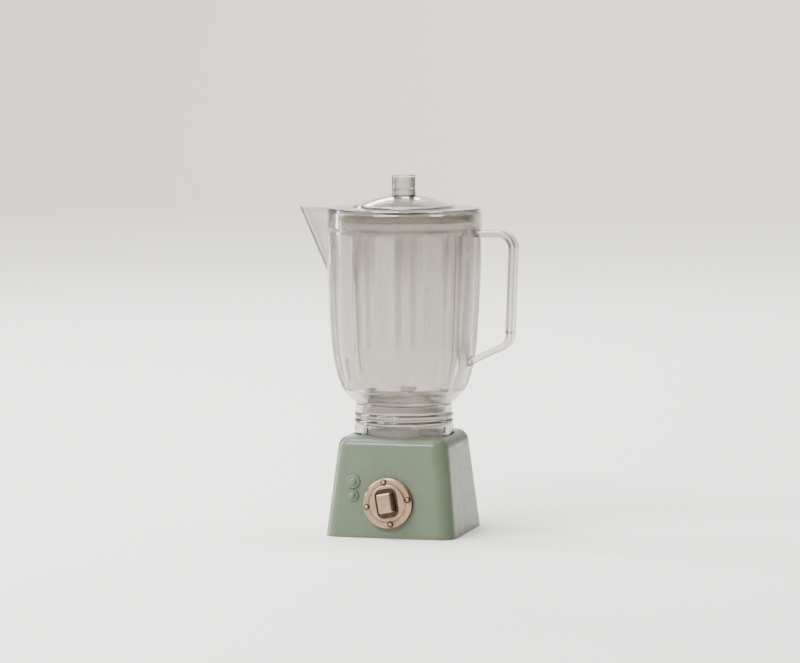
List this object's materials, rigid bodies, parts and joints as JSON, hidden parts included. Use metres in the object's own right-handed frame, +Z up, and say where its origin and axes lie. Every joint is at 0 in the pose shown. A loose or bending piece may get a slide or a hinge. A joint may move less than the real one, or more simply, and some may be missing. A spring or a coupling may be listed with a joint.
{
  "type": "toy blender",
  "caption": "Dollhouse-size toy blender: clear fluted jug with spout, strip handle and knobbed lid, on a square tapered metal base with a turning dial.",
  "frame": {"origin": "middle of the resting underside, on the jug's axis", "axes": "+Z up; the dial faces -Y; the spout points to -X and the handle to +X"},
  "size_m": [0.0468, 0.0333, 0.0748],
  "materials": {
    "mint_paint": "satin paint",
    "cover_plate": "plain",
    "screw_steel": "plain",
    "copper": "soft metallic",
    "spindle_steel": "turned",
    "washer_plastic": "plain",
    "clip_steel": "plain",
    "clear_plastic": "clear gloss"
  },
  "bodies": {
    "base": {"base_housing": "mint_paint", "base_plate": "cover_plate", "plate_screws": "screw_steel", "dial_washer": "washer_plastic"},
    "dial": {"dial_disc": "copper", "dial_grip": "copper", "dial_rivets": "copper", "dial_spindle": "spindle_steel", "dial_clip": "clip_steel"},
    "jug": {"jug_body": "clear_plastic", "jug_collar": "clear_plastic", "jug_handle": "clear_plastic"},
    "lid": {"lid": "clear_plastic", "lid_knob": "clear_plastic"}
  },
  "joints": [
    {"name": "dial_turn", "type": "hinge", "parent": "base", "child": "dial", "pos_m": [0, -0.01304, 0.0073], "axis": [0, -0.994, 0.1097], "continuous": true},
    {"name": "jug_lift", "type": "slide", "parent": "base", "child": "jug", "axis": [0, 0, 1], "range_m": [0, 0.03]},
    {"name": "lid_lift", "type": "slide", "parent": "jug", "child": "lid", "axis": [0, 0, 1], "range_m": [0, 0.03]}
  ]
}
